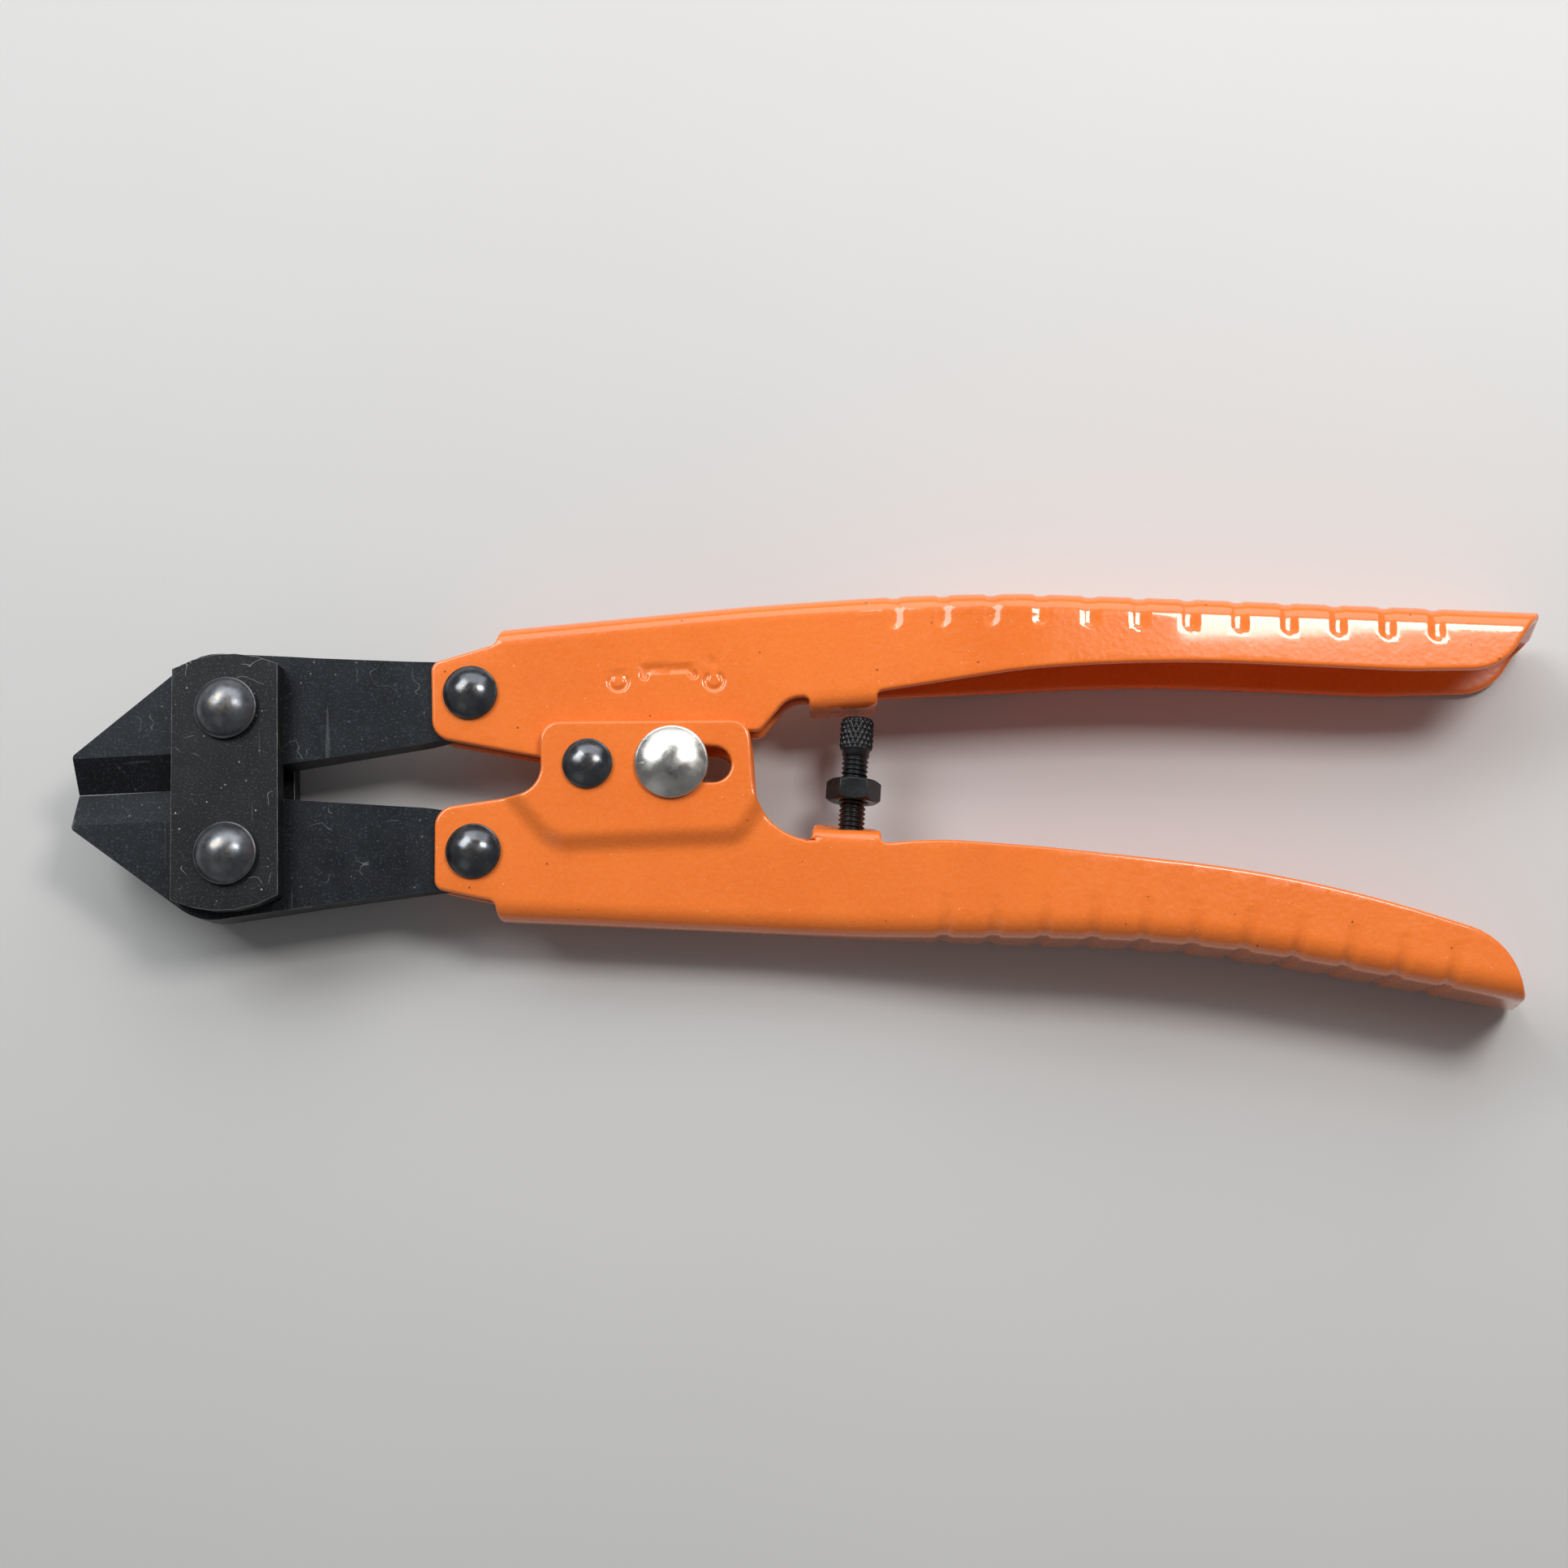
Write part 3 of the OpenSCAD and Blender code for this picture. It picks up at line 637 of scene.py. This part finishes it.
    def half_sheet(self, front):
        """Outer points, inner points, faces, and the free edges of one half."""
        free, middle, holes = self.pattern(front)
        loop = np.concatenate([free, middle[1:-1]])
        points = self.mesh_points(free, middle[1:-1], holes)
        coords, edges = list(loop), [(i, (i + 1) % len(loop)) for i in range(len(loop))]
        for hole in holes:
            k = len(coords)
            coords += list(hole)
            edges += [(k + i, k + (i + 1) % len(hole)) for i in range(len(hole))]
        coords += list(points)
        verts, _, faces, _, _, _ = geometry.delaunay_2d_cdt([Vector(p) for p in coords], edges, [], 1, 1e-5)
        flat = np.array([tuple(v) for v in verts])
        faces = np.array(faces)
        centre = flat[faces].mean(axis=1)
        keep = inside(centre, loop)
        rim = distance(flat, free, closed=False)[0]
        for hole in holes:
            keep &= ~inside(centre, hole)
            rim = np.minimum(rim, distance(flat, hole)[0])
        faces = faces[keep]
        place, normal, d, s = self.fold(flat, front)
        depth, drop = self.pressed(flat, d, s, front), rim_drop(rim)
        outer = place - normal * (depth + drop)[:, None]
        inner = place - normal * (depth + SHEET - drop)[:, None]
        sides = dict.fromkeys(side for a, b, c in faces for side in ((a, b), (b, c), (c, a)))
        free_edges = [(a, b) for a, b in sides if (b, a) not in sides and max(rim[a], rim[b]) < 1e-3]
        return outer, inner, faces, free_edges

    def build(self, name):
        """The whole handle: both halves, joined along the mid-plane."""
        bm = bmesh.new()
        for front in (True, False):
            outer, inner, faces, edges = self.half_sheet(front)
            if not front:
                outer[:, 2] *= -1
                inner[:, 2] *= -1
            out = [bm.verts.new(tuple(p)) for p in to_row(outer)]
            back = [bm.verts.new(tuple(p)) for p in to_row(inner)]
            walls = [(out[b], out[a], back[a], back[b]) for a, b in edges]
            skins = [tuple(out[i] for i in f) for f in faces]
            skins += [tuple(back[i] for i in f[::-1]) for f in faces]
            for f in skins + walls:
                bm.faces.new(f if front else f[::-1])
        bmesh.ops.remove_doubles(bm, verts=bm.verts, dist=0.004 * MM)
        bmesh.ops.delete(bm, geom=[v for v in bm.verts if not v.link_faces], context="VERTS")
        return mesh_object(name, bm)


def mesh_object(name, bm, sharp_deg=None):
    """A smooth-shaded object from a bmesh, with creases kept above an angle."""
    mesh = bpy.data.meshes.new(name)
    bm.to_mesh(mesh)
    bm.free()
    mesh.polygons.foreach_set("use_smooth", [True] * len(mesh.polygons))
    if sharp_deg is not None:
        mesh.set_sharp_from_angle(angle=math.radians(sharp_deg))
    piece = bpy.data.objects.new(name, mesh)
    bpy.context.scene.collection.objects.link(piece)
    return piece


TAIL = joint_at("jaw_upper_pivot")[:2]
TAIL_LOW = joint_at("jaw_lower_pivot")[:2]
TAIL_HOLE_R, CENTRE_HOLE_R = 2.5, 2.6
SCREW_WAY = np.array(JOINTS["stop_screw_travel"]["axis"])[:2]
SCREW_SIDE = np.array([SCREW_WAY[1], -SCREW_WAY[0]])
SCREW_FOOT = np.array([37.56, -12.0])  # where the screw passes the middle of the lower stop tab
SCREW_HOLE_R, TAB_OFFSET, TAB_WIDTH = 2.05, 0.6, 10.0
LOCK_AT = np.array([12.2, -0.4])
LOCK_WAY = np.array(JOINTS["lock_slide"]["axis"])[:2]
LOCK_TRAVEL, SLOT_R = JOINTS["lock_slide"]["range_m"][1] / MM, 2.65


def lock_slot():
    """Rounded slot that the lock pin slides in."""
    side = np.array([-LOCK_WAY[1], LOCK_WAY[0]])
    points = []
    for end, first in ((LOCK_AT + LOCK_WAY * LOCK_TRAVEL, 90), (LOCK_AT, 270)):
        for k in range(13):
            a = math.radians(first - 15 * k)
            points.append(end + SLOT_R * (math.cos(a) * LOCK_WAY + math.sin(a) * side))
    return spaced(points, 0.5, closed=True)


def stamped_marks():
    """Plain signs for the lock's two places, as (line, width, depth, whether it is closed) each.

    A closed ring with a bar, the travel line with hooked ends, and an open ring with a bar.
    """
    ring_r, gap = 1.25, math.radians(50)
    locked, unlocked = (4.7, 12.3), (18.8, 11.7)
    closed_ring = circle(locked, ring_r, 36)
    turn = np.linspace(gap, 2 * math.pi - gap, 30)
    open_ring = np.stack([unlocked[0] + ring_r * np.sin(turn), unlocked[1] + ring_r * np.cos(turn)], axis=1)
    bar = spaced([(locked[0], 14.3), (locked[0], 15.3)], 0.3)
    open_bar = spaced([(unlocked[0], 14.0), (unlocked[0], 14.9)], 0.3)
    hooked = [(8.6, 12.9, 0), (8.1, 14.0, 0.6), (15.2, 13.7, 0.6), (15.8, 12.7, 0)]
    travel = spaced(outline(hooked, closed=False), 0.3)
    sign, groove = (0.6, 0.3), (1.0, 0.45)
    return [(closed_ring, *sign, True), (bar, *sign, False), (travel, *groove, False),
            (open_ring, *sign, False), (open_bar, *sign, False)]


def make_handles(paint):
    """Both handles, each in the place of its CAD node."""
    upper = Channel(
        back=[(-12.3, 21.7, 0), (37.9, 23.94, 260), (139.7, 14.58, 0)],
        nose=[(-6.7, 1.55, 0.7), (-22.9, 5.45, 3.2), (-22.9, 16.6, 1.6), (-13.4, 19.0, 1.2)],
        end=[(139.7, 14.87, 0.6, 7), (133.1, 6.15, 8, 8)],
        grip=[(118, 6.6, 60), (77.2, 10.68, 255), (29.6, 8.8, 4),
              (25.2, 3.9, 1.5), (9, 3.9, 1.5), (5.2, -7.2, 5.2), (-6.9, -6.6, 5.2)],
        ribs=45.8 + 7.02 * np.arange(12), rib_end=4.4, rib_depth=0.24, rib_fade=0,
        holes=[circle(TAIL, TAIL_HOLE_R, 32), circle((0, 0), CENTRE_HOLE_R, 32)],
        tab={"face": (37.5, 6.7), "turn": 0.0, "way": 1, "width": TAB_WIDTH, "root": 0.0, "after": 2},
        marks=stamped_marks(), fine=[((2.6, 9.4), (22.6, 18.0), 0.26)])
    lower = Channel(
        back=[(-13.7, -21.9, 0), (40, -27.0, 300), (86, -30.4, 200), (131.4, -41.26, 0)],
        nose=[(-6.9, -3.6, 4.2), (-22.7, -5.1, 3), (-22.95, -16.9, 1.6), (-14.3, -19.2, 1.2)],
        end=[(131.4, -41.0, 1.5, 2.5), (130, -32.2, 10, 10)],
        grip=[(101, -21.9, 187), (50, -13.75, 60), (24.2, -12.3, 9),
              (23.7, 5.3, 2.8), (-6.9, 6.7, 2.8)],
        ribs=50.0 + 6.95 * np.arange(11), rib_end=5.0, rib_depth=0.36, rib_fade=0.75,
        holes=[circle(TAIL_LOW, TAIL_HOLE_R, 32), circle((0, 0), TAIL_HOLE_R, 32), lock_slot()],
        tab={"face": tuple(SCREW_FOOT - TAB_OFFSET * SCREW_SIDE + SHEET / 2 * SCREW_WAY), "way": -1,
             "turn": math.atan2(SCREW_SIDE[1], SCREW_SIDE[0]), "width": TAB_WIDTH, "root": -0.15,
             "hole": SCREW_HOLE_R, "hole_off": TAB_OFFSET, "after": 2},
        ear=outline([(-6.0, 30, 0), (60, 30, 0), (60, -7, 0), (26.5, -7, 1), (22.3, -13.1, 5),
                     (-6.2, -12.7, 7), (-14.2, -2.8, 1), (-20, 2, 0)]),
        fine=[((-14, -14), (26, 7), 0.6)])
    for channel, name in ((upper, "handle_upper"), (lower, "handle_lower")):
        piece = channel.build(name + "_pressed")
        piece.data.materials.append(paint)
        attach(piece, name)
        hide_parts(name)


# ---------------------------------------------------------------- turned pieces, screw and nut
def turned(name, profile, at, steps=96):
    """A piece turned about Z at a place in the tool frame, from (radius, z) points down its outside."""
    bm = bmesh.new()
    rings = []
    for r, z in profile:
        if r < 1e-6:
            rings.append([bm.verts.new(to_row((at[0], at[1], z)))])
            continue
        rings.append([bm.verts.new(to_row((at[0] + r * math.cos(2 * math.pi * k / steps),
                                           at[1] + r * math.sin(2 * math.pi * k / steps), z)))
                      for k in range(steps)])
    for a, b in zip(rings, rings[1:]):
        for k in range(steps):
            corners = [a[k % len(a)], b[k % len(b)], b[(k + 1) % len(b)], a[(k + 1) % len(a)]]
            bm.faces.new(list(dict.fromkeys(corners)))
    return mesh_object(name, bm, 50)


def dome(radius, face, height, lip=0.35, corner_r=0.22):
    """Profile of a round head on a face at z = face: its crown, its rounded lip and its underside."""
    ball = (radius ** 2 + (height - lip) ** 2) / (2 * (height - lip))
    rim = math.asin((radius - corner_r) / ball)
    profile = [(ball * math.sin(rim * k / 22), face + height - ball * (1 - math.cos(rim * k / 22)))
               for k in range(23)]
    top = profile[-1][1]
    profile += [(radius - corner_r * (1 - math.sin(t)), top - corner_r * (1 - math.cos(t)))
                for t in (math.radians(a) for a in (35, 60, 90))]
    return profile + [(radius, face + 0.12), (radius - 0.1, face), (radius - 0.6, face)]


def both_ways(profile):
    """The profile followed by its mirror image below the mid-plane."""
    return profile + [(r, -z) for r, z in reversed(profile)]


def wave(turns):
    """Triangle wave of turns, 0 at whole numbers and 1 half way between them."""
    return 1 - np.abs(2 * (turns - np.floor(turns)) - 1)


def bridge(bm, pairs):
    """Faces between the rings of each pair."""
    for a, b in pairs:
        for k in range(len(a)):
            j = (k + 1) % len(a)
            bm.faces.new((a[k], a[j], b[j], b[k]))


def screw_ring(bm, places, radii, turns):
    """A ring of points round the stop screw's line, each with its own place along it and its own radius."""
    angle = 2 * math.pi * turns
    flat = SCREW_FOOT + np.outer(places, SCREW_WAY) + np.outer(radii * np.cos(angle), SCREW_SIDE)
    return [bm.verts.new(tuple(p)) for p in to_row(np.column_stack([flat, radii * np.sin(angle)]))]


def along_screw(name, stations, columns, radius):
    """A closed shape round the stop screw's line, from rings of radius(station, turns) at places along it."""
    bm = bmesh.new()
    turns = np.arange(columns) / columns
    rings = [screw_ring(bm, np.full(columns, place), radius(k, turns), turns)
             for k, place in enumerate(stations)]
    bridge(bm, zip(rings, rings[1:]))
    bm.faces.new(rings[0][::-1])
    bm.faces.new(rings[-1])
    bmesh.ops.recalc_face_normals(bm, faces=bm.faces)
    return mesh_object(name, bm)


# Places along the screw are measured from SCREW_FOOT.
THREAD_R, PITCH, THREAD_DEEP, SCREW_END = 2.0, 0.7, 0.36, -5.0
HEAD_R, HEAD_FROM, HEAD_TO = 2.5, 12.814, 17.66
KNURLS, KNURL_ROW, KNURL_DEEP = 19, 0.8, 0.36


def make_screw():
    """Threaded shank and, as a second closed shell, the collar with the diamond-knurled head."""
    shank = np.arange(SCREW_END, HEAD_FROM - 0.5, PITCH / 10)
    end = np.clip((shank - SCREW_END) / 0.5, 0, 1)

    def threaded(k, turns):
        crest = THREAD_R - 0.02 - 0.5 * (1 - end[k])
        return crest - THREAD_DEEP * wave(shank[k] / PITCH - turns) * end[k]

    thread = along_screw("stop_screw_shank", shank, 40, threaded)
    collar = [(HEAD_FROM - 0.9, 1.7), (HEAD_FROM - 0.8, THREAD_R), (HEAD_FROM - 0.2, THREAD_R),
              (HEAD_FROM + 0.1, THREAD_R + 0.2)]
    body = [(z, HEAD_R) for z in np.arange(HEAD_FROM + 0.3, HEAD_TO - 0.5, 0.1)]
    crown = [(HEAD_TO - down, HEAD_R - less)
             for down, less in ((0.45, 0.04), (0.25, 0.2), (0.08, 0.4), (0, 0.65))]
    rows = np.array(collar + body + crown)
    fade = smooth(HEAD_FROM, HEAD_FROM + 0.4, rows[:, 0]) * (1 - smooth(HEAD_TO - 0.4, HEAD_TO, rows[:, 0]))

    def knurled(k, turns):
        across, up = turns * KNURLS, rows[k, 0] / (2 * KNURL_ROW)
        return rows[k, 1] - KNURL_DEEP * fade[k] * np.maximum(wave(across + up), wave(across - up))

    head = along_screw("stop_screw_turned", rows[:, 0], KNURLS * 8, knurled)
    with bpy.context.temp_override(active_object=head, selected_editable_objects=[head, thread],
                                   selected_objects=[head, thread]):
        bpy.ops.object.join()
    return head


NUT_FROM, NUT_H, NUT_BORE = 5.15, 3.2, 2.05
NUT_FLAT = 3.5  # half the width across flats


def make_nut():
    """Hexagon nut with a flat to the front, chamfered at 30 degrees on both faces."""
    columns = 96
    turns = np.arange(columns) / columns
    hexagon = NUT_FLAT / np.cos(np.radians(turns * 360 % 60 - 30))
    chamfer_r = 0.97 * NUT_FLAT
    fall = (hexagon - chamfer_r) * math.tan(math.radians(30))
    level = np.zeros(columns)
    half = [(NUT_BORE + level, 0.35 + level), (NUT_BORE + 0.4 + level, level), (chamfer_r + level, level),
            (hexagon, fall)]
    bm = bmesh.new()
    rings = [screw_ring(bm, NUT_FROM + z, r, turns)
             for r, z in half + [(r, NUT_H - z) for r, z in reversed(half)]]
    bridge(bm, zip(rings, rings[1:] + rings[:1]))
    bmesh.ops.recalc_face_normals(bm, faces=bm.faces)
    nut = mesh_object("stop_nut_turned", bm, 25)
    soften(nut, 0.1, 2)
    return nut


def soften(piece, width_mm, segments=3):
    """Rounds a piece's sharp edges, after joining the faces of its mesh."""
    piece.modifiers.new("joined", "WELD").merge_threshold = 0.002 * MM
    soft = piece.modifiers.new("edge", "BEVEL")
    soft.limit_method = "ANGLE"
    soft.angle_limit = math.radians(35)
    soft.width = width_mm * MM
    soft.segments = segments


# Each riveted pin: head radius, the face it stands on, head height, shank radius.
TAIL_RIVET, JAW_RIVET, CENTRE_RIVET = (4.0, 3.45, 2.3, 2.5), (4.6, 6.2, 3.3, 3.0), (3.65, 4.9, 2.0, 2.5)
KNOB_R, KNOB_FACE, KNOB_H, KNOB_LIP = 5.35, 4.95, 2.3, 0.5
JAW_AT = np.array([-52.4, 10.7])  # the upper jaw pivot, the lower one is its mirror image

make_camera()
make_stage()
LOOKS = {
    "orange_paint": orange_paint(),
    "jaw_black": black_steel("jaw_black", (0.0085, 0.0098, 0.012), 0.42, dust=0.25, edge_wear_and_highlight=0.6,
                             edge=(0.2, 0.78)),
    "plate_black": black_steel("plate_black", (0.009, 0.0092, 0.0098), 0.45, dust=0.6, edge_wear_and_highlight=1.0),
    "jaw_rivet_black": gloss_black("jaw_rivet_black", (0.13, 0.138, 0.15), (0.22, 0.226, 0.24), 0.27, 0.7),
    "rivet_gloss_black": gloss_black("rivet_gloss_black", (0.09, 0.096, 0.107), (0.15, 0.155, 0.165),
                                     0.18, 0.3),
    "bright_steel": bright_steel(),
    "screw_black": black_steel("screw_black", (0.008, 0.0083, 0.009), 0.3, dust=0.15, edge_wear_and_highlight=0.0, spec=0.6),
}
SLOT_OF = {s["node"]: s["material_slot"] for s in frame["record"]["subparts"]}


def stand_in(piece, node, body):
    """The piece takes a CAD node's place, body and material."""
    piece.data.materials.append(LOOKS[SLOT_OF[node]])
    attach(piece, body)
    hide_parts(node)


def make_rivet(node, body, at, radius, face, height, shank_r):
    """A riveted pin through the tool, with the same head at both ends."""
    profile = dome(radius, face, height) + [(shank_r, face)]
    stand_in(turned(node + "_turned", both_ways(profile), at), node, body)


make_handles(LOOKS["orange_paint"])
for side, end, tail in ((1, "upper", TAIL), (-1, "lower", TAIL_LOW)):
    make_rivet("tail_rivet_" + end, "handle_" + end, tail, *TAIL_RIVET)
    make_rivet("jaw_rivet_" + end, "head", JAW_AT * (1, side), *JAW_RIVET)
make_rivet("centre_rivet", "handle_lower", (0, 0), *CENTRE_RIVET)
knob = dome(KNOB_R, KNOB_FACE, KNOB_H, KNOB_LIP) + [(0, KNOB_FACE)]
stand_in(turned("lock_knob_turned", knob, LOCK_AT), "lock_knob", "lock")
stand_in(make_screw(), "stop_screw", "stop_screw")
stand_in(make_nut(), "stop_nut", "stop_nut")
for node, piece in frame["nodes"].items():
    piece.data.materials.clear()
    piece.data.materials.append(LOOKS[SLOT_OF[node]])
    soften(piece, 0.35 if node.startswith("link_plate") else 0.22)
